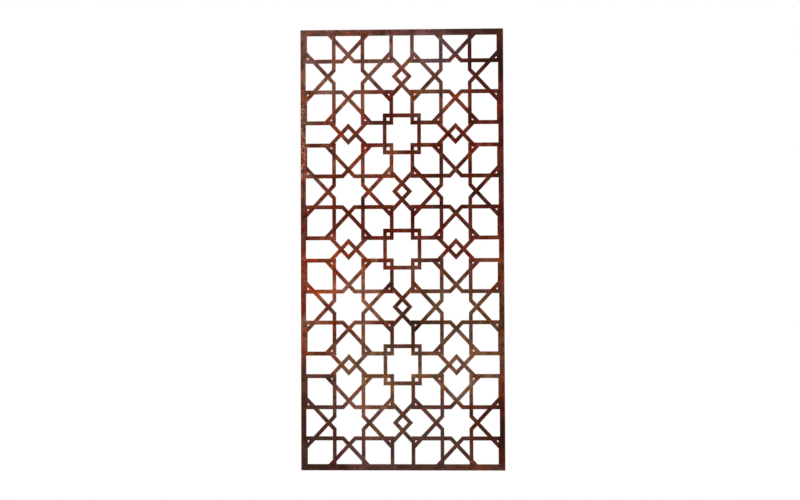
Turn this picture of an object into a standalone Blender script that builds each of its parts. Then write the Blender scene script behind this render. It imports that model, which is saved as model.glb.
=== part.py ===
"""Mashrabiya screen: one flat sheet of weathering steel, cut through with a lattice of stars.

Run it with blender --background --python part.py, or from Blender's text editor.
Units are metres and +Z is up. The front faces -Y, and the back lies in the plane Y = 0.
The origin is on the back, at the middle of the top rim, where the sheet is held.

The lattice is drawn in star units, then laid out in metres on the sheet. One star unit is
half the side of the two squares that make up each eight-pointed star.
"""

import math

import bmesh
import bpy
from mathutils import Vector
from mathutils.geometry import delaunay_2d_cdt

# Sheet, in metres
SHEET_WIDTH = 0.830
SHEET_HEIGHT = 1.800
SHEET_THICKNESS = 0.003
SIDE_RIM = 0.0215
END_RIM = 0.0255

# Lattice, in metres
STAR_COLUMNS = 2
STAR_ROWS = 4
STRAP_WIDTH = 0.0156  # of an upright strap
SIDE_INSET = 0.0193  # from the sheet's side to the middle of the outermost upright straps
END_INSET = 0.0035  # from the sheet's end to the middle of the outermost level straps

# Drawing of the lattice, in star units
FRAME_REACH = 3.0  # from a star's middle to the straps that square off the corners of its cell
STAR_PITCH = 7.45  # from one star's middle to the next
KNOT_REACH = 0.52  # from the middle of a knot, the small diamond between two stars, to its points
RING_REACH = 1.195  # half the side of the square ring between four stars

# Worked out from the sizes above
UNIT_ACROSS = (SHEET_WIDTH - 2 * SIDE_INSET) / ((STAR_COLUMNS - 1) * STAR_PITCH + 2 * FRAME_REACH)
UNIT_UP = (SHEET_HEIGHT - 2 * END_INSET) / ((STAR_ROWS - 1) * STAR_PITCH + 2 * FRAME_REACH)
HALF_STRAP = 0.5 * STRAP_WIDTH / UNIT_ACROSS
STAR_POINT = math.sqrt(2.0)  # from a star's middle to its points
STAR_NOTCH = STAR_POINT - 1.0  # how far along a side the star's other square crosses it

MERGE_DISTANCE = 1e-6
FLAT_ANGLE = math.radians(0.2)

RUST_COLOUR = (0.105, 0.030, 0.016, 1.0)
RUST_ROUGHNESS = 0.85
RUST_METALLIC = 0.1


def clear_scene():
    for obj in list(bpy.data.objects):
        bpy.data.objects.remove(obj, do_unlink=True)


def rust():
    material = bpy.data.materials.new("weathering_steel")
    material.use_nodes = True
    shader = material.node_tree.nodes["Principled BSDF"]
    shader.inputs["Base Color"].default_value = RUST_COLOUR
    shader.inputs["Roughness"].default_value = RUST_ROUGHNESS
    shader.inputs["Metallic"].default_value = RUST_METALLIC
    return material


def star_strap():
    """The strap in one quarter of a star's cell.

    It squares off the cell's corner, and each end turns into a side of the star and runs on
    past the star's point to the frame.
    """
    run_out = FRAME_REACH - STAR_POINT
    return [
        Vector((FRAME_REACH, -run_out)),
        Vector((1.0, STAR_NOTCH)),
        Vector((1.0, FRAME_REACH)),
        Vector((FRAME_REACH, FRAME_REACH)),
        Vector((FRAME_REACH, 1.0)),
        Vector((STAR_NOTCH, 1.0)),
        Vector((-run_out, FRAME_REACH)),
    ]


def knot_strap():
    """The strap that leaves a star's frame, turns at the far point of a knot and comes back."""
    middle = STAR_PITCH / 2
    spread = middle + KNOT_REACH - FRAME_REACH
    return [
        Vector((FRAME_REACH, spread)),
        Vector((middle + KNOT_REACH, 0.0)),
        Vector((FRAME_REACH, -spread)),
    ]


def ring_strap():
    """The closed square ring above and to the right of a star, between it and three others."""
    middle = Vector((STAR_PITCH / 2, STAR_PITCH / 2))
    corners = [Vector((1, 1)), Vector((-1, 1)), Vector((-1, -1)), Vector((1, -1))]
    return [middle + RING_REACH * corner for corner in corners]


def strap_pieces(path, closed=False):
    """Four-cornered pieces, one for each stretch of a strap, mitred where they meet."""
    ways = [(after - before).normalized() for before, after in zip(path, path[1:] + path[:1])]
    normals = [Vector((-way.y, way.x)) for way in ways]
    if not closed:
        normals[-1] = normals[-2]
    mitres = []
    for index, normal in enumerate(normals):
        before = normals[index - 1] if closed or index else normal
        mitres.append((before + normal) * HALF_STRAP / (1.0 + before.dot(normal)))
    stretches = range(len(path) if closed else len(path) - 1)
    pieces = []
    for start in stretches:
        end = (start + 1) % len(path)
        pieces.append(
            [
                path[start] - mitres[start],
                path[end] - mitres[end],
                path[end] + mitres[end],
                path[start] + mitres[start],
            ]
        )
    return pieces


def star_cell(column, row):
    """The pieces of one star's straps, knots and ring, in star units from its middle."""
    pieces = []
    for across in (-1, 1):
        for up in (-1, 1):
            pieces += strap_pieces([Vector((across * p.x, up * p.y)) for p in star_strap()])
    has_right = column < STAR_COLUMNS - 1
    has_above = row < STAR_ROWS - 1
    if has_right:
        pieces += strap_pieces(knot_strap())
    if column > 0:
        pieces += strap_pieces([Vector((-p.x, p.y)) for p in knot_strap()])
    if has_above:
        pieces += strap_pieces([Vector((p.y, p.x)) for p in knot_strap()])
    if row > 0:
        pieces += strap_pieces([Vector((p.y, -p.x)) for p in knot_strap()])
    if has_right and has_above:
        pieces += strap_pieces(ring_strap(), closed=True)
    return pieces


def lattice_pieces():
    """Every strap piece, in metres from the sheet's middle."""
    pieces = []
    for column in range(STAR_COLUMNS):
        for row in range(STAR_ROWS):
            middle = STAR_PITCH * Vector((column - (STAR_COLUMNS - 1) / 2, row - (STAR_ROWS - 1) / 2))
            for piece in star_cell(column, row):
                placed = [middle + corner for corner in piece]
                pieces.append([Vector((p.x * UNIT_ACROSS, p.y * UNIT_UP)) for p in placed])
    return pieces


def rim_pieces():
    """The four mitred sides of the rim, in metres from the sheet's middle."""
    corners = [Vector((-1, -1)), Vector((1, -1)), Vector((1, 1)), Vector((-1, 1))]
    half_sheet = Vector((SHEET_WIDTH / 2, SHEET_HEIGHT / 2))
    half_window = half_sheet - Vector((SIDE_RIM, END_RIM))
    outer = [corner * half_sheet for corner in corners]
    inner = [corner * half_window for corner in corners]
    return [
        [outer[side], outer[(side + 1) % 4], inner[(side + 1) % 4], inner[side]] for side in range(4)
    ]


def on_sheet(points):
    """Whether a triangle's middle lies within the sheet's outer edge."""
    middle = sum(points, Vector((0.0, 0.0))) / len(points)
    return abs(middle.x) < SHEET_WIDTH / 2 and abs(middle.y) < SHEET_HEIGHT / 2


def add_pieces(shape, pieces):
    """Lays the pieces in the plane Y = 0 as triangles, and drops what reaches past the sheet's edge."""
    corners = [corner for piece in pieces for corner in piece]
    faces = [tuple(range(4 * index, 4 * index + 4)) for index in range(len(pieces))]
    found = delaunay_2d_cdt(corners, [], faces, 0, MERGE_DISTANCE, True)
    points, triangles, sources = found[0], found[2], found[5]
    verts = [shape.verts.new((point.x, 0.0, point.y)) for point in points]
    for triangle, source in zip(triangles, sources):
        if source and on_sheet([points[index] for index in triangle]):
            shape.faces.new([verts[index] for index in triangle])


def keep_outline(shape):
    """Leaves only the edges round the sheet and round each window, with no vert along a straight edge."""
    inner = [edge for edge in shape.edges if not edge.is_boundary]
    bmesh.ops.delete(shape, geom=shape.faces[:], context="FACES_ONLY")
    bmesh.ops.delete(shape, geom=inner, context="EDGES")
    loose = [vert for vert in shape.verts if not vert.link_edges]
    bmesh.ops.delete(shape, geom=loose, context="VERTS")
    straight = []
    for vert in shape.verts:
        first, second = [edge.other_vert(vert).co - vert.co for edge in vert.link_edges]
        if first.angle(second) > math.pi - FLAT_ANGLE:
            straight.append(vert)
    bmesh.ops.dissolve_verts(shape, verts=straight)


def sheet_mesh():
    """The front of the cut sheet, flat, with its windows left open."""
    shape = bmesh.new()
    add_pieces(shape, rim_pieces() + lattice_pieces())
    keep_outline(shape)
    bmesh.ops.triangle_fill(shape, use_beauty=True, edges=shape.edges[:], normal=(0.0, -1.0, 0.0))
    mesh = bpy.data.meshes.new("screen_panel")
    shape.to_mesh(mesh)
    shape.free()
    return mesh


def screen_panel():
    """The sheet as one solid: its front is at the thickness in front of the back's plane."""
    panel = bpy.data.objects.new("screen_panel", sheet_mesh())
    panel.location = (0.0, -SHEET_THICKNESS, (END_RIM - SHEET_HEIGHT) / 2)
    panel.data.materials.append(rust())
    plate = panel.modifiers.new("Thickness", "SOLIDIFY")
    plate.thickness = SHEET_THICKNESS
    plate.offset = -1.0
    bpy.context.scene.collection.objects.link(panel)
    return panel


def main():
    clear_scene()
    screen_panel()


main()
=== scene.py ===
"""Dresses the mashrabiya screen as rusted weathering steel and stands it in a pale studio.

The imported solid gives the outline. The panel is cut from it again, with softened arrises and a
worn band along every edge, and with one finish for its faces and another for its cut walls.
All sizes are in metres. The front of the panel faces -Y and its height runs along Z.
"""

from __future__ import annotations

import logging
import math
from dataclasses import dataclass
from enum import Enum
from typing import Any

import bmesh
import bpy
from mathutils import Matrix, Quaternion, Vector

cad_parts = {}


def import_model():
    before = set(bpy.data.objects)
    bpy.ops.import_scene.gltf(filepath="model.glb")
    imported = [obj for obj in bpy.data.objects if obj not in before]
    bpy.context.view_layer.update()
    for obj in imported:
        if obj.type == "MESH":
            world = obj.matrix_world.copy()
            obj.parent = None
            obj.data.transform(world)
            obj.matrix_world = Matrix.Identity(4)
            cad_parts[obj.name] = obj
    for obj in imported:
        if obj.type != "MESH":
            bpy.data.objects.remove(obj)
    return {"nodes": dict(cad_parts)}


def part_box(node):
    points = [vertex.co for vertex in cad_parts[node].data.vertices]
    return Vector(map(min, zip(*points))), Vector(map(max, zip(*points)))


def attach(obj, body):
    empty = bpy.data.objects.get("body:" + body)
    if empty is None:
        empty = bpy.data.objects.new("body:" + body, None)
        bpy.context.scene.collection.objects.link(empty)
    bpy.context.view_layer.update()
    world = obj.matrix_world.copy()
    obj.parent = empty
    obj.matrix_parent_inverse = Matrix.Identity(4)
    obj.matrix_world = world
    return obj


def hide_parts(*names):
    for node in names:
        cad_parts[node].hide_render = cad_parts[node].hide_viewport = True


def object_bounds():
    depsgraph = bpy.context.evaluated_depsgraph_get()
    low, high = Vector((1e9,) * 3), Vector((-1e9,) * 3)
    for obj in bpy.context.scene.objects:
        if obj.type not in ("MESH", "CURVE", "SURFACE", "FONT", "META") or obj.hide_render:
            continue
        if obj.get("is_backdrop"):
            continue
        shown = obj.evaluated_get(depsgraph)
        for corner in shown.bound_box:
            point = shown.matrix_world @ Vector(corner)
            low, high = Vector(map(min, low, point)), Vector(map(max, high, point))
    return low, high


LOG = logging.getLogger("mashrabiya_screen")

SENSOR_WIDTH_MM = 36.0

Colour = tuple[float, float, float, float]
Socket = bpy.types.NodeSocket

WHITE: Colour = (1.0, 1.0, 1.0, 1.0)
NOISE_MIDDLE = 0.5
EDGE_LAYER = "edge_nearness"
CUT_SLOT = 1

# The display's curve between stored values and linear light
CURVE_KNEE = 0.04045
CURVE_SLOPE = 12.92
CURVE_OFFSET = 0.055
CURVE_POWER = 2.4


class Shade(Enum):
    """A named colour, as red, green and blue from 0 to 255."""

    def linear(self) -> Colour:
        """Gives it as a shader colour.

        Returns:
            The colour in linear light.
        """
        return (*(_linear(part / 255) for part in self.value), 1.0)


class RustTone(Shade):
    """The oxide colours seen on the sheet."""

    OXBLOOD = (89, 30, 11)
    RUSSET = (112, 58, 34)
    ORANGE = (141, 71, 30)
    SALMON = (122, 86, 75)
    TAN = (113, 88, 72)
    OLIVE = (93, 69, 48)
    MAUVE = (98, 72, 86)
    PLUM = (69, 50, 49)
    UMBER = (83, 63, 59)
    MAROON = (69, 30, 17)
    BLACK_BROWN = (38, 18, 14)
    CREAM = (196, 160, 142)


class Cast(Shade):
    """The faint casts that the oxide is multiplied by."""

    WARM = (255, 236, 219)
    OCHRE = (255, 248, 186)
    ROSE = (255, 230, 250)
    EMBER = (255, 222, 200)
    GLOW = (255, 214, 132)
    FRESH = (255, 186, 100)


def _linear(value: float) -> float:
    """Turns one display value from 0 to 1 into linear light.

    Args:
        value: The display value.

    Returns:
        The linear value.
    """
    if value <= CURVE_KNEE:
        return value / CURVE_SLOPE
    return ((value + CURVE_OFFSET) / (1.0 + CURVE_OFFSET)) ** CURVE_POWER


@dataclass(frozen=True)
class Noise:
    """A fractal noise.

    Attributes:
        scale: Its features for each metre.
        detail: How many finer layers it has.
        rough: How strong the finer layers are.
        away: How far off it is read, so that two noises of one scale differ.
    """

    scale: float
    detail: float
    rough: float = 0.55
    away: float = 0.0


@dataclass(frozen=True)
class Ramp:
    """A smooth change of one value while another goes through a range.

    Attributes:
        low: Where the range begins. It may be above its end.
        high: Where the range ends.
        start: The result at the beginning.
        end: The result at the end.
    """

    low: float
    high: float
    start: float | Socket = 0.0
    end: float | Socket = 1.0


class MixKind(Enum):
    """What a Mix node mixes: its data type, then the places of its two inputs and its output."""

    NUMBER = ("FLOAT", 2, 3, 0)
    COLOUR = ("RGBA", 6, 7, 2)


class NodeSheet:
    """One shader node tree, with short calls that add nodes and join them."""

    def __init__(self, tree: bpy.types.NodeTree) -> None:
        """Keeps the tree to add to.

        Args:
            tree: A material's tree or a node group.
        """
        self.tree = tree

    def add(self, kind: str, **settings: Any) -> bpy.types.Node:
        """Adds a node.

        Args:
            kind: The node's Blender type.
            **settings: Properties to set on it.

        Returns:
            The new node.
        """
        node = self.tree.nodes.new(kind)
        for name, value in settings.items():
            setattr(node, name, value)
        return node

    def feed(self, socket: Socket, value: Any) -> None:
        """Joins an output to a socket, or sets the socket's own value.

        Args:
            socket: The input to feed.
            value: An output socket, a number, a vector or a colour.
        """
        if isinstance(value, Socket):
            self.tree.links.new(value, socket)
        else:
            socket.default_value = value

    def maths(self, operation: str, *values: Any) -> Socket:
        """Adds a Math node.

        Args:
            operation: Its operation.
            *values: What feeds its inputs, in order.

        Returns:
            Its output.
        """
        node = self.add("ShaderNodeMath", operation=operation)
        for socket, value in zip(node.inputs, values):
            self.feed(socket, value)
        return node.outputs[0]

    def vector_maths(self, operation: str, *values: Any, output: str = "Vector") -> Socket:
        """Adds a Vector Math node.

        Args:
            operation: Its operation.
            *values: What feeds its inputs, in order.
            output: Vector, or Value for a length or a distance.

        Returns:
            That output.
        """
        node = self.add("ShaderNodeVectorMath", operation=operation)
        for socket, value in zip(node.inputs, values):
            self.feed(socket, value)
        return node.outputs[output]

    def scaled(self, vector: Socket, factor: float) -> Socket:
        """Makes a vector longer or shorter.

        Args:
            vector: The vector.
            factor: What it is multiplied by.

        Returns:
            The scaled vector.
        """
        node = self.add("ShaderNodeVectorMath", operation="SCALE")
        self.feed(node.inputs["Vector"], vector)
        node.inputs["Scale"].default_value = factor
        return node.outputs["Vector"]

    def noise(self, place: Socket, kind: Noise, output: str = "Fac") -> Socket:
        """Adds a fractal noise.

        Args:
            place: Where it is read.
            kind: Its scale and its layers.
            output: Fac, or Color for three noises at once.

        Returns:
            That output.
        """
        if kind.away:
            place = self.vector_maths("ADD", place, (kind.away, kind.away, -kind.away))
        node = self.add("ShaderNodeTexNoise")
        self.feed(node.inputs["Vector"], place)
        node.inputs["Scale"].default_value = kind.scale
        node.inputs["Detail"].default_value = kind.detail
        node.inputs["Roughness"].default_value = kind.rough
        return node.outputs[output]

    def ramp(self, value: Socket, ramp: Ramp) -> Socket:
        """Maps a range smoothly onto another.

        Args:
            value: What is mapped.
            ramp: The two ranges.

        Returns:
            The mapped value.
        """
        node = self.add("ShaderNodeMapRange", interpolation_type="SMOOTHSTEP")
        ranges = {"From Min": ramp.low, "From Max": ramp.high, "To Min": ramp.start, "To Max": ramp.end}
        for name, given in ranges.items():
            self.feed(node.inputs[name], given)
        self.feed(node.inputs["Value"], value)
        return node.outputs["Result"]

    def blend(self, share: Any, first: Any, second: Any) -> Socket:
        """Mixes two numbers.

        Args:
            share: How much of the second is used, from 0 to 1.
            first: The number at 0.
            second: The number at 1.

        Returns:
            The mixed number.
        """
        return self._mixed(MixKind.NUMBER, share, first, second)

    def mix(self, share: Any, first: Any, second: Any) -> Socket:
        """Mixes two colours.

        Args:
            share: How much of the second is used, from 0 to 1.
            first: The colour at 0.
            second: The colour at 1.

        Returns:
            The mixed colour.
        """
        return self._mixed(MixKind.COLOUR, share, first, second)

    def cast(self, share: Any, colour: Socket, cast: Cast) -> Socket:
        """Multiplies a colour by a cast.

        Args:
            share: How far the cast takes hold, from 0 to 1.
            colour: The colour.
            cast: The cast.

        Returns:
            The colour with its cast.
        """
        return self._mixed(MixKind.COLOUR, share, colour, cast.linear(), blend_type="MULTIPLY")

    def tint(self, colour: Socket, hue: Any = 0.5, saturation: Any = 1.0, value: Any = 1.0) -> Socket:
        """Shifts a colour.

        Args:
            colour: The colour.
            hue: Its turn round the colour wheel, where 0.5 leaves it.
            saturation: How strong it gets, where 1 leaves it.
            value: How light it gets, where 1 leaves it.

        Returns:
            The shifted colour.
        """
        node = self.add("ShaderNodeHueSaturation")
        for name, given in (("Hue", hue), ("Saturation", saturation), ("Value", value), ("Color", colour)):
            self.feed(node.inputs[name], given)
        return node.outputs["Color"]

    def _mixed(self, kind: MixKind, share: Any, first: Any, second: Any, **settings: Any) -> Socket:
        """Adds a Mix node.

        Args:
            kind: What it mixes.
            share: How much of the second is used, from 0 to 1.
            first: What is used at 0.
            second: What is used at 1.
            **settings: Further properties to set on it.

        Returns:
            Its output.
        """
        data_type, first_place, second_place, output_place = kind.value
        node = self.add("ShaderNodeMix", data_type=data_type, **settings)
        self.feed(node.inputs[0], share)
        self.feed(node.inputs[first_place], first)
        self.feed(node.inputs[second_place], second)
        return node.outputs[output_place]


class EffectGroup:
    """A node group for an effect that both finishes use, with named inputs and outputs."""

    def __init__(self, name: str, inputs: dict[str, str], outputs: dict[str, str]) -> None:
        """Makes the group with its sockets.

        Args:
            name: The group's name.
            inputs: Each input's name and socket type.
            outputs: Each output's name and socket type.
        """
        self.tree = bpy.data.node_groups.new(name, "ShaderNodeTree")
        for label, kind in inputs.items():
            self.tree.interface.new_socket(label, in_out="INPUT", socket_type=kind)
        for label, kind in outputs.items():
            self.tree.interface.new_socket(label, in_out="OUTPUT", socket_type=kind)
        self.sheet = NodeSheet(self.tree)
        self.given = self.sheet.add("NodeGroupInput").outputs
        self.results = self.sheet.add("NodeGroupOutput").inputs

    def place_in(self, sheet: NodeSheet, **values: Any) -> bpy.types.Node:
        """Adds the group to a tree.

        Args:
            sheet: The tree that uses it.
            **values: What feeds each input, by name.

        Returns:
            The group node.
        """
        node = sheet.add("ShaderNodeGroup", node_tree=self.tree)
        for name, value in values.items():
            sheet.feed(node.inputs[name], value)
        return node


@dataclass(frozen=True)
class Stain:
    """A broad patch where one oxide colour has the upper hand.

    Attributes:
        tone: Its colour.
        across: Its middle, from the panel's middle.
        down: Its middle, from the panel's top edge.
        reach: How far it spreads.
        strength: How far it covers what is under it.
        mottle: How lively the mottling is on it, from 0 to 1.
    """

    tone: RustTone
    across: float
    down: float
    reach: float
    strength: float
    mottle: float = 1.0


STAINS = (
    # Rosy upper third, with mauve and plum along the top and maroon to the right, so that the top is
    # lighter on the left and darker on the right
    Stain(RustTone.SALMON, -0.26, 0.14, 0.30, 0.85, 0.7),
    Stain(RustTone.SALMON, 0.00, 0.09, 0.18, 0.8, 0.7),
    Stain(RustTone.OLIVE, 0.11, 0.27, 0.15, 0.7),
    Stain(RustTone.MAUVE, -0.12, 0.06, 0.17, 0.45),
    Stain(RustTone.MAUVE, 0.14, 0.07, 0.17, 0.95, 0.7),
    Stain(RustTone.MAUVE, -0.39, 0.08, 0.15, 0.5),
    Stain(RustTone.MAROON, 0.39, 0.11, 0.24, 0.95, 0.4),
    Stain(RustTone.PLUM, -0.30, -0.04, 0.15, 0.6),
    Stain(RustTone.PLUM, -0.04, -0.04, 0.15, 0.6),
    Stain(RustTone.PLUM, 0.32, -0.01, 0.14, 0.6, 0.4),
    # Russet and maroon upper middle
    Stain(RustTone.RUSSET, -0.33, 0.49, 0.26, 0.65),
    Stain(RustTone.UMBER, -0.40, 0.43, 0.14, 0.6),
    Stain(RustTone.SALMON, -0.42, 0.66, 0.10, 0.4),
    Stain(RustTone.RUSSET, -0.10, 0.57, 0.16, 0.7),
    Stain(RustTone.RUSSET, 0.22, 0.34, 0.12, 0.5),
    Stain(RustTone.MAROON, 0.42, 0.55, 0.08, 0.5),
    Stain(RustTone.MAROON, -0.02, 0.39, 0.13, 0.6),
    Stain(RustTone.MAROON, 0.20, 0.67, 0.22, 0.65),
    # Orange to the left of the lower middle, olive to its right
    Stain(RustTone.ORANGE, -0.29, 1.00, 0.19, 0.67),
    Stain(RustTone.ORANGE, -0.15, 0.97, 0.12, 0.8),
    Stain(RustTone.RUSSET, 0.38, 0.98, 0.14, 0.6),
    Stain(RustTone.SALMON, -0.17, 1.12, 0.19, 0.85),
    Stain(RustTone.OLIVE, 0.04, 0.98, 0.11, 0.5),
    Stain(RustTone.MAROON, 0.18, 0.97, 0.13, 0.5),
    Stain(RustTone.OLIVE, 0.20, 1.18, 0.27, 0.95, 0.75),
    Stain(RustTone.OLIVE, 0.41, 1.22, 0.17, 0.75),
    Stain(RustTone.RUSSET, -0.38, 1.26, 0.20, 0.9),
    Stain(RustTone.TAN, -0.38, 1.22, 0.10, 0.45),
    # Tan above the foot, and plum and umber at the foot
    Stain(RustTone.TAN, -0.13, 1.44, 0.28, 0.95, 0.8),
    Stain(RustTone.TAN, 0.22, 1.40, 0.22, 0.95, 0.8),
    Stain(RustTone.SALMON, -0.12, 1.58, 0.18, 0.55),
    Stain(RustTone.BLACK_BROWN, 0.02, 1.25, 0.12, 0.55),
    Stain(RustTone.UMBER, -0.38, 1.50, 0.18, 0.8, 0.7),
    Stain(RustTone.UMBER, 0.06, 1.74, 0.34, 0.9, 0.5),
    Stain(RustTone.MAUVE, -0.16, 1.75, 0.13, 0.45, 0.6),
    Stain(RustTone.PLUM, -0.38, 1.74, 0.22, 0.95, 0.4),
    Stain(RustTone.MAROON, -0.42, 1.58, 0.14, 0.6, 0.6),
    Stain(RustTone.SALMON, 0.34, 1.81, 0.13, 0.45, 0.6),
    Stain(RustTone.MAROON, 0.38, 1.65, 0.19, 0.9, 0.6),
    # Near-black patches down the right rim
    Stain(RustTone.BLACK_BROWN, 0.42, 0.14, 0.07, 0.8, 0.3),
    Stain(RustTone.BLACK_BROWN, 0.42, 0.63, 0.07, 0.4, 0.6),
    Stain(RustTone.BLACK_BROWN, 0.43, 1.64, 0.10, 0.8, 0.3),
)


@dataclass(frozen=True)
class Flaking:
    """A stretch of the sheet where the oxide has flaked to pale and dark scales.

    Attributes:
        across: Its middle, from the panel's middle.
        down: Its middle, from the panel's top edge.
        half_width: How far it reaches to either side.
        half_height: How far it reaches up and down.
        core: The share of that reach within which it is at its full strength.
        strength: How far the scales cover what is under them.
        scales: The noise that the scales are cut from.
        pale: Where in that noise the pale scales lie.
        dark: Where in it the dark scales lie.
    """

    across: float = -0.412
    down: float = 0.45
    half_width: float = 0.024
    half_height: float = 0.23
    core: float = 0.45
    strength: float = 0.85
    scales: Noise = Noise(130.0, 4.0, 0.7, away=8.3)
    pale: Ramp = Ramp(0.50, 0.60)
    dark: Ramp = Ramp(0.42, 0.34)


@dataclass(frozen=True)
class RustTones:
    """The colour of the oxide: broad stains, then film and casts, then mottles and fine flecks.

    Attributes:
        top: The height of the panel's top edge.
        stains: The broad patches, each laid over the ones before.
        flaking: The flaked stretch.
        ground: The tone under them.
        wander: The noise that the stains' edges follow.
        drift: How far those edges wander.
        stain_core: The share of its reach within which a stain is at its full strength.
        blotch: The bright and dull blotches.
        blotch_hue: How a blotch turns the hue.
        blotch_strength: How dull or strong it makes the colour.
        blotch_warmth: Where it is warm.
        film: The light and dark film.
        film_low: Where in its noise the film is darkest.
        film_high: Where it is lightest.
        film_dark: How much it darkens a lively stain.
        film_light: How much it lightens one.
        hues: The noise that the ochre and rose casts lie in.
        ochre: Where the ochre cast lies.
        rose: Where the rose cast lies.
        mottle: The mottles of fresh rust.
        fresh: Where they lie.
        fresh_light: How light they make the colour.
        glow: The dull and glowing patches.
        glow_strength: How dull or strong they make the colour.
        glow_light: How dark or light they make it.
        glowing: Where they glow.
        fleck: The flecks.
        fleck_strength: How much a pale fleck dulls the colour.
        fleck_light: How light it makes it.
        fleck_dark: How much a dark fleck covers.
        dust: The finest grains of colour.
        dust_light: How dark or light they make the colour.
    """

    top: float
    stains: tuple[Stain, ...] = STAINS
    flaking: Flaking = Flaking()
    ground: RustTone = RustTone.OXBLOOD
    wander: Noise = Noise(7.0, 4.0, 0.6)
    drift: float = 0.10
    stain_core: float = 0.35
    blotch: Noise = Noise(26.0, 9.0, 0.68)
    blotch_hue: Ramp = Ramp(0.35, 0.65, 0.508, 0.495)
    blotch_strength: Ramp = Ramp(0.34, 0.56, 0.84, 1.0)
    blotch_warmth: Ramp = Ramp(0.48, 0.66)
    film: Noise = Noise(20.0, 9.0, 0.68, away=3.1)
    film_low: float = 0.32
    film_high: float = 0.68
    film_dark: float = 0.56
    film_light: float = 0.72
    hues: Noise = Noise(34.0, 9.0, 0.7, away=12.4)
    ochre: Ramp = Ramp(0.50, 0.40)
    rose: Ramp = Ramp(0.50, 0.60)
    mottle: Noise = Noise(75.0, 5.0, 0.68, away=5.7)
    fresh: Ramp = Ramp(0.50, 0.66)
    fresh_light: Ramp = Ramp(0.0, 1.0, 0.95, 1.45)
    glow: Noise = Noise(44.0, 6.0, 0.68, away=15.2)
    glow_strength: Ramp = Ramp(0.38, 0.50, 0.80, 1.0)
    glow_light: Ramp = Ramp(0.40, 0.60, 0.93, 1.10)
    glowing: Ramp = Ramp(0.48, 0.62)
    fleck: Noise = Noise(230.0, 4.0, 0.72)
    fleck_strength: Ramp = Ramp(0.56, 0.70, 1.0, 0.76)
    fleck_light: Ramp = Ramp(0.55, 0.68, 1.0, 2.0)
    fleck_dark: Ramp = Ramp(0.44, 0.31, 0.0, 0.65)
    dust: Noise = Noise(950.0, 2.0, 0.6, away=1.9)
    dust_light: Ramp = Ramp(0.34, 0.66, 0.74, 1.28)

    def group(self) -> EffectGroup:
        """Builds the group that puts out the colour at a place.

        Returns:
            The group, with the input Place and the output Colour.
        """
        effect = EffectGroup("rust_tones", {"Place": "NodeSocketVector"}, {"Colour": "NodeSocketColor"})
        sheet = effect.sheet
        place = effect.given["Place"]
        colour, lively = self._stained(sheet, place)
        colour = self._filmed(sheet, place, colour, lively)
        colour = self._hued(sheet, place, colour, lively)
        colour = self._mottled(sheet, place, colour, lively)
        colour = self._glowed(sheet, place, colour, lively)
        colour = self._flecked(sheet, place, colour)
        sheet.feed(effect.results["Colour"], colour)
        return effect

    def _stained(self, sheet: NodeSheet, place: Socket) -> tuple[Socket, Socket]:
        """Lays the stains over the ground tone.

        Args:
            sheet: The group's tree.
            place: Where the colour is read.

        Returns:
            The colour, and how lively the mottling on it is.
        """
        wander = sheet.noise(place, self.wander, output="Color")
        centred = sheet.vector_maths("SUBTRACT", wander, (NOISE_MIDDLE,) * 3)
        moved = sheet.vector_maths("ADD", place, sheet.scaled(centred, 2 * self.drift))
        flat = sheet.vector_maths("MULTIPLY", moved, (1.0, 0.0, 1.0))
        colour: Any = self.ground.linear()
        lively: Any = 1.0
        for stain in self.stains:
            middle = (stain.across, 0.0, self.top - stain.down)
            away = sheet.vector_maths("DISTANCE", flat, middle, output="Value")
            fade = Ramp(stain.reach, self.stain_core * stain.reach, 0.0, stain.strength)
            share = sheet.ramp(away, fade)
            colour = sheet.mix(share, colour, stain.tone.linear())
            lively = sheet.blend(share, lively, stain.mottle)
        return colour, lively

    def _filmed(self, sheet: NodeSheet, place: Socket, colour: Socket, lively: Socket) -> Socket:
        """Lays bright and dull blotches and a light and dark film over the stains.

        Args:
            sheet: The group's tree.
            place: Where the colour is read.
            colour: The colour of the stains.
            lively: How lively the mottling is.

        Returns:
            The colour.
        """
        blotch = sheet.noise(place, self.blotch)
        film = sheet.noise(place, self.film)
        hue = sheet.ramp(blotch, self.blotch_hue)
        strength = sheet.ramp(blotch, self.blotch_strength)
        darkest = sheet.maths("MULTIPLY_ADD", lively, -self.film_dark, 1.0)
        lightest = sheet.maths("MULTIPLY_ADD", lively, self.film_light, 1.0)
        light = sheet.ramp(film, Ramp(self.film_low, self.film_high, darkest, lightest))
        colour = sheet.tint(colour, hue=hue, saturation=strength, value=light)
        return sheet.cast(sheet.ramp(blotch, self.blotch_warmth), colour, Cast.WARM)

    def _hued(self, sheet: NodeSheet, place: Socket, colour: Socket, lively: Socket) -> Socket:
        """Casts ochre over some places and rose over others.

        Args:
            sheet: The group's tree.
            place: Where the colour is read.
            colour: The colour so far.
            lively: How lively the mottling is.

        Returns:
            The colour.
        """
        hues = sheet.noise(place, self.hues)
        ochre = sheet.maths("MULTIPLY", lively, sheet.ramp(hues, self.ochre))
        colour = sheet.cast(ochre, colour, Cast.OCHRE)
        return sheet.cast(sheet.ramp(hues, self.rose), colour, Cast.ROSE)

    def _mottled(self, sheet: NodeSheet, place: Socket, colour: Socket, lively: Socket) -> Socket:
        """Lays mottles of fresh rust over the colour.

        Args:
            sheet: The group's tree.
            place: Where the colour is read.
            colour: The colour so far.
            lively: How lively the mottling is.

        Returns:
            The colour.
        """
        mottle = sheet.noise(place, self.mottle)
        fresh = sheet.maths("MULTIPLY", lively, sheet.ramp(mottle, self.fresh))
        colour = sheet.cast(fresh, colour, Cast.WARM)
        return sheet.tint(colour, value=sheet.ramp(fresh, self.fresh_light))

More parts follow.
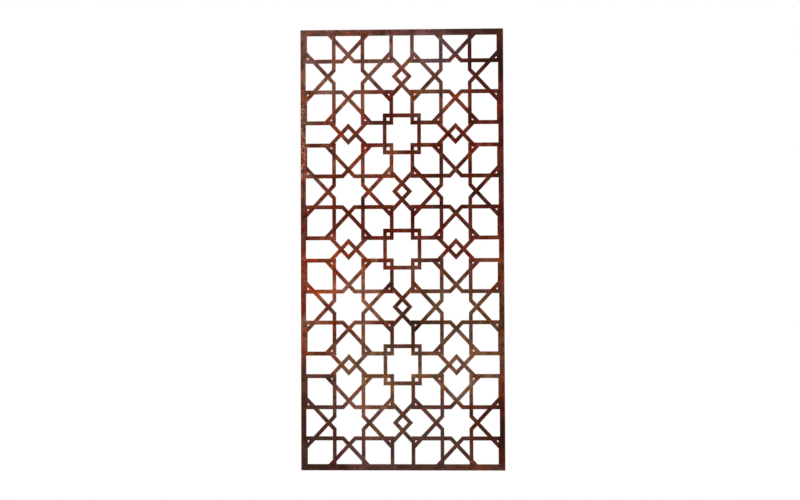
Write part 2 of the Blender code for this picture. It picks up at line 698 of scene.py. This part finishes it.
    def _glowed(self, sheet: NodeSheet, place: Socket, colour: Socket, lively: Socket) -> Socket:
        """Dulls the colour in some patches and makes it glow in others.

        Args:
            sheet: The group's tree.
            place: Where the colour is read.
            colour: The colour so far.
            lively: How lively the mottling is.

        Returns:
            The colour.
        """
        glow = sheet.noise(place, self.glow)
        strength = sheet.ramp(glow, self.glow_strength)
        light = sheet.ramp(glow, self.glow_light)
        colour = sheet.tint(colour, saturation=strength, value=light)
        glowing = sheet.maths("MULTIPLY", lively, sheet.ramp(glow, self.glowing))
        return sheet.cast(glowing, colour, Cast.GLOW)

    def _flecked(self, sheet: NodeSheet, place: Socket, colour: Socket) -> Socket:
        """Lays pale flecks, the flaked stretch, dark flecks and fine dust over the colour.

        Args:
            sheet: The group's tree.
            place: Where the colour is read.
            colour: The colour so far.

        Returns:
            The colour.
        """
        fleck = sheet.noise(place, self.fleck)
        strength = sheet.ramp(fleck, self.fleck_strength)
        light = sheet.ramp(fleck, self.fleck_light)
        colour = sheet.tint(colour, saturation=strength, value=light)
        colour = self._flaked(sheet, place, colour)
        dark = sheet.ramp(fleck, self.fleck_dark)
        colour = sheet.mix(dark, colour, RustTone.BLACK_BROWN.linear())
        dust = sheet.noise(place, self.dust)
        return sheet.tint(colour, value=sheet.ramp(dust, self.dust_light))

    def _flaked(self, sheet: NodeSheet, place: Socket, colour: Socket) -> Socket:
        """Lays the pale and dark scales over the flaked stretch.

        Args:
            sheet: The group's tree.
            place: Where the colour is read.
            colour: The colour under the scales.

        Returns:
            The colour.
        """
        flaking = self.flaking
        middle = (flaking.across, 0.0, self.top - flaking.down)
        from_middle = sheet.vector_maths("SUBTRACT", place, middle)
        squeeze = (1.0 / flaking.half_width, 0.0, 1.0 / flaking.half_height)
        squeezed = sheet.vector_maths("MULTIPLY", from_middle, squeeze)
        away = sheet.vector_maths("LENGTH", squeezed, output="Value")
        mask = sheet.ramp(away, Ramp(1.0, flaking.core, 0.0, flaking.strength))
        scales = sheet.noise(place, flaking.scales)
        pale = sheet.maths("MULTIPLY", mask, sheet.ramp(scales, flaking.pale))
        dark = sheet.maths("MULTIPLY", mask, sheet.ramp(scales, flaking.dark))
        colour = sheet.mix(pale, colour, RustTone.CREAM.linear())
        return sheet.mix(dark, colour, RustTone.BLACK_BROWN.linear())


@dataclass(frozen=True)
class RustGrain:
    """The relief of the oxide: a fine grain, pits and low scabs.

    Attributes:
        grain: The fine grain.
        scab: The low scabs.
        pit_scale: Pits for each metre.
        pit_wall: How a pit deepens towards its middle.
        pit_places: The noise that chooses where there are pits.
        pit_chosen: Where in that noise they lie.
        grain_height: The grain's height, beside the scabs' 1.
        pit_depth: The pits' depth, beside the scabs' 1.
    """

    grain: Noise = Noise(900.0, 2.0, 0.6)
    scab: Noise = Noise(70.0, 5.0, 0.6)
    pit_scale: float = 260.0
    pit_wall: Ramp = Ramp(0.34, 0.12)
    pit_places: Noise = Noise(91.0, 1.0)
    pit_chosen: Ramp = Ramp(0.50, 0.62)
    grain_height: float = 0.35
    pit_depth: float = 0.45

    def group(self) -> EffectGroup:
        """Builds the group that puts out the height and a mask of the pits.

        Returns:
            The group, with the input Place and the outputs Height and Pits.
        """
        effect = EffectGroup(
            "rust_grain",
            {"Place": "NodeSocketVector"},
            {"Height": "NodeSocketFloat", "Pits": "NodeSocketFloat"},
        )
        sheet = effect.sheet
        place = effect.given["Place"]
        grain = sheet.noise(place, self.grain)
        scab = sheet.noise(place, self.scab)
        cell = sheet.add("ShaderNodeTexVoronoi")
        sheet.feed(cell.inputs["Vector"], place)
        cell.inputs["Scale"].default_value = self.pit_scale
        pits = sheet.ramp(cell.outputs["Distance"], self.pit_wall)
        chosen = sheet.noise(place, self.pit_places)
        pits = sheet.maths("MULTIPLY", pits, sheet.ramp(chosen, self.pit_chosen))
        height = sheet.maths("MULTIPLY_ADD", grain, self.grain_height, scab)
        height = sheet.maths("MULTIPLY_ADD", pits, -self.pit_depth, height)
        sheet.feed(effect.results["Height"], height)
        sheet.feed(effect.results["Pits"], pits)
        return effect


@dataclass(frozen=True)
class RustEffects:
    """The node groups that both finishes draw on.

    Attributes:
        tones: The oxide's colour.
        grain: Its relief.
    """

    tones: EffectGroup
    grain: EffectGroup


@dataclass(frozen=True)
class FaceFinish:
    """The weathered front and back of the sheet.

    Attributes:
        name: The material's name.
        back_shift: How much the pattern's depth is stretched, so that the back differs.
        fraying: The noise that frays the bands along the edges.
        heart: Where the heart of the metal lies, the part furthest from any edge.
        heart_fray: How much that is frayed.
        heart_light: How much lighter the metal is there.
        rim: Where the fresh rust along each edge lies.
        rim_fray: How much that is frayed.
        rim_light: How much lighter the metal is there.
        patches: The patches in which the fresh rust comes and goes.
        patch_cover: How much of it shows in them.
        pit_dark: How dark the pits are.
        roughness: How the roughness goes with the relief's height.
        specular: How strongly it reflects.
        relief: How deep the relief is.
    """

    name: str = "rusted_face"
    back_shift: float = 40.0
    fraying: Noise = Noise(300.0, 4.0, 0.65)
    heart: Ramp = Ramp(0.08, -0.02)
    heart_fray: float = 0.25
    heart_light: Ramp = Ramp(0.0, 1.0, 1.0, 1.18)
    rim: Ramp = Ramp(0.15, 0.85)
    rim_fray: float = 1.6
    rim_light: Ramp = Ramp(0.0, 1.0, 1.0, 2.5)
    patches: Noise = Noise(55.0, 3.0)
    patch_cover: Ramp = Ramp(0.30, 0.60, 0.65, 1.0)
    pit_dark: float = 0.55
    roughness: Ramp = Ramp(0.35, 0.95, 0.96, 0.78)
    specular: float = 0.10
    relief: float = 0.0003

    def material(self, effects: RustEffects) -> bpy.types.Material:
        """Builds the material.

        Args:
            effects: The shared node groups.

        Returns:
            The material.
        """
        material, sheet, shader = _blank_material(self.name)
        place = _object_place(sheet, (1.0, self.back_shift, 1.0))
        tones = effects.tones.place_in(sheet, Place=place)
        grain = effects.grain.place_in(sheet, Place=place)
        colour = self._banded(sheet, place, tones.outputs["Colour"])
        pitted = sheet.maths("MULTIPLY", grain.outputs["Pits"], self.pit_dark)
        colour = sheet.mix(pitted, colour, RustTone.BLACK_BROWN.linear())
        sheet.feed(shader.inputs["Base Color"], colour)
        sheet.feed(shader.inputs["Roughness"], sheet.ramp(grain.outputs["Height"], self.roughness))
        shader.inputs["Specular IOR Level"].default_value = self.specular
        _bump(sheet, shader, grain.outputs["Height"], self.relief)
        return material

    def _banded(self, sheet: NodeSheet, place: Socket, colour: Socket) -> Socket:
        """Warms the heart of the metal and lays fresh rust along its edges.

        Args:
            sheet: The material's tree.
            place: Where the colour is read.
            colour: The oxide's colour.

        Returns:
            The colour.
        """
        near = sheet.add("ShaderNodeAttribute", attribute_name=EDGE_LAYER).outputs["Fac"]
        ragged = sheet.maths("SUBTRACT", sheet.noise(place, self.fraying), NOISE_MIDDLE)
        heart = sheet.ramp(sheet.maths("MULTIPLY_ADD", ragged, self.heart_fray, near), self.heart)
        colour = sheet.cast(heart, colour, Cast.EMBER)
        colour = sheet.tint(colour, value=sheet.ramp(heart, self.heart_light))
        patches = sheet.noise(place, self.patches)
        frayed = sheet.maths("MULTIPLY_ADD", ragged, self.rim_fray, near)
        band = sheet.ramp(frayed, self.rim)
        rim = sheet.maths("MULTIPLY", band, sheet.ramp(patches, self.patch_cover))
        colour = sheet.cast(rim, colour, Cast.FRESH)
        return sheet.tint(colour, value=sheet.ramp(rim, self.rim_light))


@dataclass(frozen=True)
class CutFinish:
    """The walls that the cutter left, with its fine drag lines rusted over.

    Attributes:
        name: The material's name.
        drag: The drag lines along the cut.
        drag_stretch: How much the lines' noise is stretched through the thickness.
        drag_dark: How dark the lines are.
        drag_height: The lines' height, beside the scabs' 1.
        roughness: How the roughness goes with the lines.
        specular: How strongly it reflects.
        relief: How deep the relief is.
    """

    name: str = "rusted_cut"
    drag: Noise = Noise(1500.0, 2.0, 0.5)
    drag_stretch: float = 0.06
    drag_dark: Ramp = Ramp(0.38, 0.62, 0.45, 0.0)
    drag_height: float = 1.4
    roughness: Ramp = Ramp(0.3, 0.7, 0.92, 0.72)
    specular: float = 0.14
    relief: float = 0.00015

    def material(self, effects: RustEffects) -> bpy.types.Material:
        """Builds the material.

        Args:
            effects: The shared node groups.

        Returns:
            The material.
        """
        material, sheet, shader = _blank_material(self.name)
        place = _object_place(sheet, (1.0, 1.0, 1.0))
        tones = effects.tones.place_in(sheet, Place=place)
        grain = effects.grain.place_in(sheet, Place=place)
        along = _object_place(sheet, (1.0, self.drag_stretch, 1.0))
        drag = sheet.noise(along, self.drag)
        dark = sheet.ramp(drag, self.drag_dark)
        colour = sheet.mix(dark, tones.outputs["Colour"], RustTone.BLACK_BROWN.linear())
        sheet.feed(shader.inputs["Base Color"], colour)
        sheet.feed(shader.inputs["Roughness"], sheet.ramp(drag, self.roughness))
        shader.inputs["Specular IOR Level"].default_value = self.specular
        height = sheet.maths("MULTIPLY_ADD", drag, self.drag_height, grain.outputs["Height"])
        _bump(sheet, shader, height, self.relief)
        return material


def _blank_material(name: str) -> tuple[bpy.types.Material, NodeSheet, bpy.types.Node]:
    """Makes a material that holds only its shader and output.

    Args:
        name: The material's name.

    Returns:
        The material, its tree and its Principled BSDF.
    """
    material = bpy.data.materials.new(name)
    material.use_nodes = True
    shader = material.node_tree.nodes["Principled BSDF"]
    return material, NodeSheet(material.node_tree), shader


def _object_place(sheet: NodeSheet, stretch: tuple[float, float, float]) -> Socket:
    """Gives the place on the piece, in its own coordinates.

    Args:
        sheet: The tree.
        stretch: How much each axis is scaled.

    Returns:
        The scaled place.
    """
    coordinates = sheet.add("ShaderNodeTexCoord").outputs["Object"]
    mapping = sheet.add("ShaderNodeMapping")
    mapping.inputs["Scale"].default_value = stretch
    sheet.feed(mapping.inputs["Vector"], coordinates)
    return mapping.outputs["Vector"]


def _bump(sheet: NodeSheet, shader: bpy.types.Node, height: Socket, depth: float) -> None:
    """Feeds the shader's normal from a height.

    Args:
        sheet: The tree.
        shader: The Principled BSDF.
        height: The relief, where 1 is the full depth.
        depth: How deep that is, in metres.
    """
    bump = sheet.add("ShaderNodeBump")
    bump.inputs["Distance"].default_value = depth
    bump.inputs["Strength"].default_value = 1.0
    sheet.feed(bump.inputs["Height"], height)
    sheet.feed(shader.inputs["Normal"], bump.outputs["Normal"])


@dataclass(frozen=True)
class ScreenPanel:
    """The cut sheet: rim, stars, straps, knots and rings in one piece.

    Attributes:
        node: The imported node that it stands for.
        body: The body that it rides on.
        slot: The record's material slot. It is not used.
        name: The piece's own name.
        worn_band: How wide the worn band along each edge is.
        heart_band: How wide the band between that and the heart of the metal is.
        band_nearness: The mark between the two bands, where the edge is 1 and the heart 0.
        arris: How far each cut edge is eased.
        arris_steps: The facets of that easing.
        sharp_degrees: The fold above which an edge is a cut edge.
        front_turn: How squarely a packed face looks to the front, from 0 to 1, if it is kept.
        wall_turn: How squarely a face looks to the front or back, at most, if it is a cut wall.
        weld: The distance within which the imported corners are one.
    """

    node: str = "screen_panel"
    body: str = "root"
    slot: str = "weathering_steel"
    name: str = "rusted_screen"
    worn_band: float = 0.0026
    heart_band: float = 0.0046
    band_nearness: float = 0.30
    arris: float = 0.0004
    arris_steps: int = 2
    sharp_degrees: float = 30.0
    front_turn: float = 0.5
    wall_turn: float = 0.95
    weld: float = 1e-6

    def build(self, packed: bpy.types.Object) -> bpy.types.Object:
        """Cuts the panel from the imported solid's outline.

        Args:
            packed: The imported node's object.

        Returns:
            The new piece.
        """
        low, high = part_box(self.node)
        sheet = bmesh.new()
        sheet.from_mesh(packed.data)
        bmesh.ops.remove_doubles(sheet, verts=sheet.verts[:], dist=self.weld)
        hidden = [face for face in sheet.faces if face.normal.y > -self.front_turn]
        bmesh.ops.delete(sheet, geom=hidden, context="FACES")
        self._band_edges(sheet)
        grown = bmesh.ops.extrude_face_region(sheet, geom=sheet.faces[:])
        moved = [part for part in grown["geom"] if isinstance(part, bmesh.types.BMVert)]
        bmesh.ops.translate(sheet, verts=moved, vec=(0.0, high.y - low.y, 0.0))
        bmesh.ops.recalc_face_normals(sheet, faces=sheet.faces[:])
        self._ease_arrises(sheet)
        self._mark_walls(sheet)
        return _linked(self.name, sheet)

    def _band_edges(self, sheet: bmesh.types.BMesh) -> None:
        """Insets two bands along every edge, and marks on each point how near the edge it lies.

        Args:
            sheet: The front faces alone.
        """
        near = sheet.verts.layers.float.new(EDGE_LAYER)
        for vert in sheet.verts:
            vert[near] = 1.0
        inner = sheet.faces[:]
        for width, nearness in ((self.worn_band, self.band_nearness), (self.heart_band, 0.0)):
            made = bmesh.ops.inset_region(
                sheet, faces=inner, thickness=width, use_boundary=True, use_even_offset=True
            )
            band = set(made["faces"])
            inner = [face for face in inner if face not in band]
            for vert in {vert for face in inner for vert in face.verts}:
                vert[near] = nearness

    def _ease_arrises(self, sheet: bmesh.types.BMesh) -> None:
        """Rounds every sharp edge a little, as the cutter and the rust leave it.

        Args:
            sheet: The closed panel.
        """
        fold = math.radians(self.sharp_degrees)
        sharp = [edge for edge in sheet.edges if edge.calc_face_angle(0.0) > fold]
        bmesh.ops.bevel(
            sheet,
            geom=sharp,
            offset=self.arris,
            offset_type="OFFSET",
            segments=self.arris_steps,
            profile=0.5,
            affect="EDGES",
            material=-1,
            clamp_overlap=True,
        )

    def _mark_walls(self, sheet: bmesh.types.BMesh) -> None:
        """Gives the walls and arrises the second finish, and marks their points as the edge.

        Args:
            sheet: The panel with its arrises eased.
        """
        near = sheet.verts.layers.float[EDGE_LAYER]
        for face in sheet.faces:
            if abs(face.normal.y) < self.wall_turn:
                face.material_index = CUT_SLOT
                for vert in face.verts:
                    vert[near] = 1.0

    def dress(self, piece: bpy.types.Object, effects: RustEffects) -> None:
        """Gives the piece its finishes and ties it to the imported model.

        Args:
            piece: The panel.
            effects: The shared node groups.
        """
        piece.data.materials.append(FaceFinish().material(effects))
        piece.data.materials.append(CutFinish().material(effects))
        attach(piece, self.body)
        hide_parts(self.node)


def _linked(name: str, shape: bmesh.types.BMesh) -> bpy.types.Object:
    """Turns a shape into an object in the scene, and frees the shape.

    Args:
        name: The object's name, and its mesh's.
        shape: The shape.

    Returns:
        The object.
    """
    mesh = bpy.data.meshes.new(name)
    shape.to_mesh(mesh)
    shape.free()
    thing = bpy.data.objects.new(name, mesh)
    bpy.context.scene.collection.objects.link(thing)
    return thing


def _facing(way: Vector) -> Quaternion:
    """Gives the turn that points a lamp or a camera.

    Args:
        way: Where it is to look.

    Returns:
        The turn.
    """
    return way.to_track_quat("-Z", "Y")


@dataclass(frozen=True)
class SoftLight:
    """One large soft light.

    Attributes:
        name: Its name.
        place: Where it hangs.
        side: The length of its square face.
        watts: Its power.
    """

    name: str
    place: tuple[float, float, float]
    side: float
    watts: float


@dataclass(frozen=True)
class Studio:
    """The floor, the lights and the camera round the panel.

    Attributes:
        floor_side: The floor's width and depth.
        floor_gap: The gap under the panel.
        floor_colour: The floor's colour, as the light meets it.
        floor_roughness: How matt it is.
        floor_specular: How strongly it reflects.
        sky: How bright the even light from all round is. The camera itself sees pure white.
        lens_mm: The camera's focal length.
        stand_off: How far the camera is in front of the panel.
        stand_right: How far it is to the right of the panel's middle.
        stand_low: How far it is below the panel's middle.
        aim_left: How far to the left of the panel's middle it points.
        aim_low: How far below the panel's middle it points.
        roll: How far it is rolled, in degrees.
        lights: The soft lights.
    """

    floor_side: float = 30.0
    floor_gap: float = 0.0015
    floor_colour: Colour = (0.92, 0.92, 0.915, 1.0)
    floor_roughness: float = 0.9
    floor_specular: float = 0.1
    sky: float = 0.36
    lens_mm: float = 50.0
    stand_off: float = 4.529
    stand_right: float = 0.125
    stand_low: float = 0.0867
    aim_left: float = 0.0092
    aim_low: float = 0.0037
    roll: float = -0.208
    lights: tuple[SoftLight, ...] = (
        SoftLight("key", (-2.6, -3.6, 0.9), 2.6, 80.0),
        SoftLight("fill", (2.9, -3.2, -0.2), 2.4, 28.0),
        SoftLight("rear", (1.6, 3.4, 1.0), 2.6, 70.0),
    )

    def stand_camera(self, low: Vector, high: Vector) -> None:
        """Stands the camera where the photograph was taken from.

        Args:
            low: The panel's lowest corner.
            high: The panel's highest corner.
        """
        middle = Vector(((low.x + high.x) / 2, low.y, (low.z + high.z) / 2))
        stand = middle + Vector((self.stand_right, -self.stand_off, -self.stand_low))
        aim = middle + Vector((-self.aim_left, 0.0, -self.aim_low))
        camera = bpy.data.cameras.new("photo_camera")
        camera.lens = self.lens_mm
        camera.sensor_width = SENSOR_WIDTH_MM
        holder = bpy.data.objects.new("photo_camera", camera)
        roll = Matrix.Rotation(math.radians(self.roll), 3, "Z")
        holder.rotation_euler = (_facing(aim - stand).to_matrix() @ roll).to_euler()
        holder.location = stand
        bpy.context.scene.collection.objects.link(holder)
        bpy.context.scene.camera = holder

    def lay_floor(self, low: Vector) -> None:
        """Lays the floor just under the panel.

        Args:
            low: The panel's lowest corner.
        """
        shape = bmesh.new()
        bmesh.ops.create_grid(shape, x_segments=2, y_segments=2, size=self.floor_side / 2)
        bmesh.ops.translate(shape, verts=shape.verts[:], vec=(0.0, 0.0, low.z - self.floor_gap))
        floor = _linked("studio_floor", shape)
        floor.data.materials.append(self._floor_material())
        floor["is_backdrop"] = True

    def _floor_material(self) -> bpy.types.Material:
        """Builds the pale floor, which the camera sees as pure white.

        Returns:
            The material.
        """
        material, sheet, shader = _blank_material("pale_floor")
        shader.inputs["Base Color"].default_value = self.floor_colour
        shader.inputs["Roughness"].default_value = self.floor_roughness
        shader.inputs["Specular IOR Level"].default_value = self.floor_specular
        paper = sheet.add("ShaderNodeEmission")
        paper.inputs["Color"].default_value = WHITE
        seen = sheet.add("ShaderNodeLightPath").outputs["Is Camera Ray"]
        chosen = sheet.add("ShaderNodeMixShader")
        for socket, given in zip(chosen.inputs, (seen, shader.outputs["BSDF"], paper.outputs["Emission"])):
            sheet.feed(socket, given)
        output = material.node_tree.nodes["Material Output"]
        sheet.feed(output.inputs["Surface"], chosen.outputs["Shader"])
        return material

    def hang_lights(self, middle: Vector) -> None:
        """Hangs the soft lights.

        Args:
            middle: The panel's middle, which the lights face.
        """
        for light in self.lights:
            lamp = bpy.data.lights.new(light.name, "AREA")
            lamp.size = light.side
            lamp.energy = light.watts
            holder = bpy.data.objects.new(light.name, lamp)
            holder.location = light.place
            holder.rotation_euler = _facing(middle - Vector(light.place)).to_euler()
            bpy.context.scene.collection.objects.link(holder)

    def whiten_surroundings(self) -> None:
        """Sets an even light all round, which the camera sees as pure white."""
        world = bpy.data.worlds.new("even_white")
        world.use_nodes = True
        sheet = NodeSheet(world.node_tree)
        surround = world.node_tree.nodes["Background"]
        surround.inputs["Color"].default_value = WHITE
        seen = sheet.add("ShaderNodeLightPath").outputs["Is Camera Ray"]
        sheet.feed(surround.inputs["Strength"], sheet.maths("MAXIMUM", seen, self.sky))
        bpy.context.scene.world = world


def main() -> None:
    """Builds the studio and the panel, in order, and reports each."""
    logging.basicConfig(level=logging.INFO, format="%(name)s: %(message)s")
    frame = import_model()
    low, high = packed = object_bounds()
    bpy.context.scene.view_settings.view_transform = "Standard"
    studio = Studio()
    studio.stand_camera(low, high)
    studio.lay_floor(low)
    studio.hang_lights((low + high) / 2)
    studio.whiten_surroundings()
    LOG.info("studio: floor at %.4f m, %d lights", low.z - studio.floor_gap, len(studio.lights))
    effects = RustEffects(RustTones(high.z).group(), RustGrain().group())
    panel = ScreenPanel()
    piece = panel.build(frame["nodes"][panel.node])
    panel.dress(piece, effects)
    LOG.info("%s: %d points, %d faces", piece.name, len(piece.data.vertices), len(piece.data.polygons))


if __name__ == "__main__":
    main()
